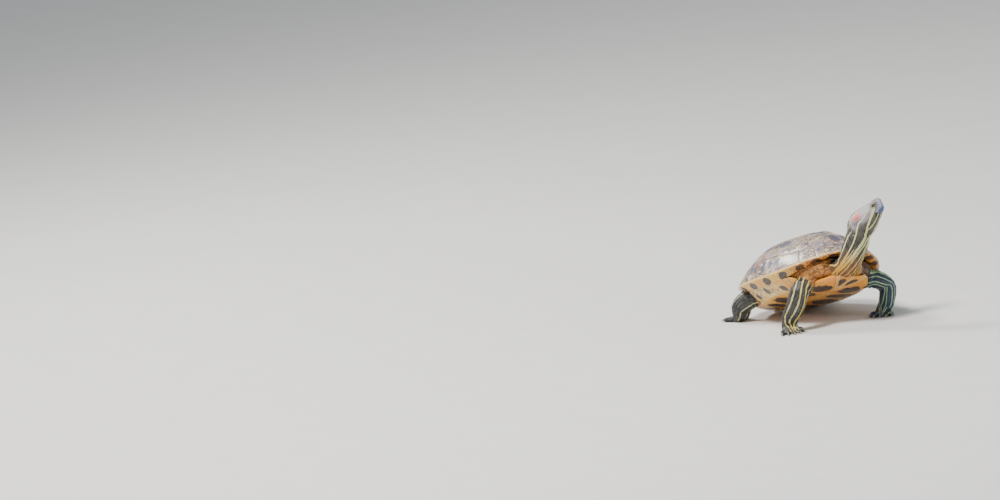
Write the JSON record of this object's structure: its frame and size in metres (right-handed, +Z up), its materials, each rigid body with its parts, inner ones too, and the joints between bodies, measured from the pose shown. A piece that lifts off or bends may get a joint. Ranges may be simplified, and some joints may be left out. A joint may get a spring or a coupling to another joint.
{
  "type": "red-eared slider turtle",
  "caption": "Life-size museum-style model of a red-eared slider turtle, propped on its forelegs with its neck raised and its head turned to its left",
  "frame": {"origin": "centre of the base of the bounding box, on the floor", "axes": "+X is the way the shell points (forward), +Y is the animal's left, +Z is up"},
  "size_m": [0.24, 0.1699, 0.1452],
  "materials": {
    "carapace": "olive-brown horn scutes with pale vermiculate lines and a yellow rim",
    "plastron": "yellow-orange horn with one dark blotch on each scute",
    "trunk": "loose orange-brown skin with fine dark speckling",
    "neck": "black-olive scaly skin with lengthwise yellow stripes",
    "head": "black-olive scaly skin with lengthwise yellow stripes",
    "eye_left": "wet yellow-green eye with a dark bar through the pupil",
    "eye_right": "wet yellow-green eye with a dark bar through the pupil",
    "upper_arm_left": "black-olive scaly skin with lengthwise yellow stripes",
    "forearm_left": "black-olive scaly skin with lengthwise yellow stripes",
    "forefoot_left": "black-olive scaly skin with lengthwise yellow stripes",
    "upper_arm_right": "black-olive scaly skin with lengthwise yellow stripes",
    "forearm_right": "black-olive scaly skin with lengthwise yellow stripes",
    "forefoot_right": "black-olive scaly skin with lengthwise yellow stripes",
    "thigh_left": "black-olive scaly skin with lengthwise yellow stripes",
    "shank_left": "black-olive scaly skin with lengthwise yellow stripes",
    "hindfoot_left": "black-olive scaly skin with lengthwise yellow stripes",
    "thigh_right": "black-olive scaly skin with lengthwise yellow stripes",
    "shank_right": "black-olive scaly skin with lengthwise yellow stripes",
    "hindfoot_right": "black-olive scaly skin with lengthwise yellow stripes",
    "tail": "black-olive scaly skin with lengthwise yellow stripes"
  },
  "bodies": {
    "root": {"carapace": "carapace", "plastron": "plastron", "trunk": "trunk", "neck": "neck", "head": "head", "eye_left": "eye_left", "eye_right": "eye_right", "upper_arm_left": "upper_arm_left", "forearm_left": "forearm_left", "forefoot_left": "forefoot_left", "upper_arm_right": "upper_arm_right", "forearm_right": "forearm_right", "forefoot_right": "forefoot_right", "thigh_left": "thigh_left", "shank_left": "shank_left", "hindfoot_left": "hindfoot_left", "thigh_right": "thigh_right", "shank_right": "shank_right", "hindfoot_right": "hindfoot_right", "tail": "tail"}
  },
  "joints": []
}
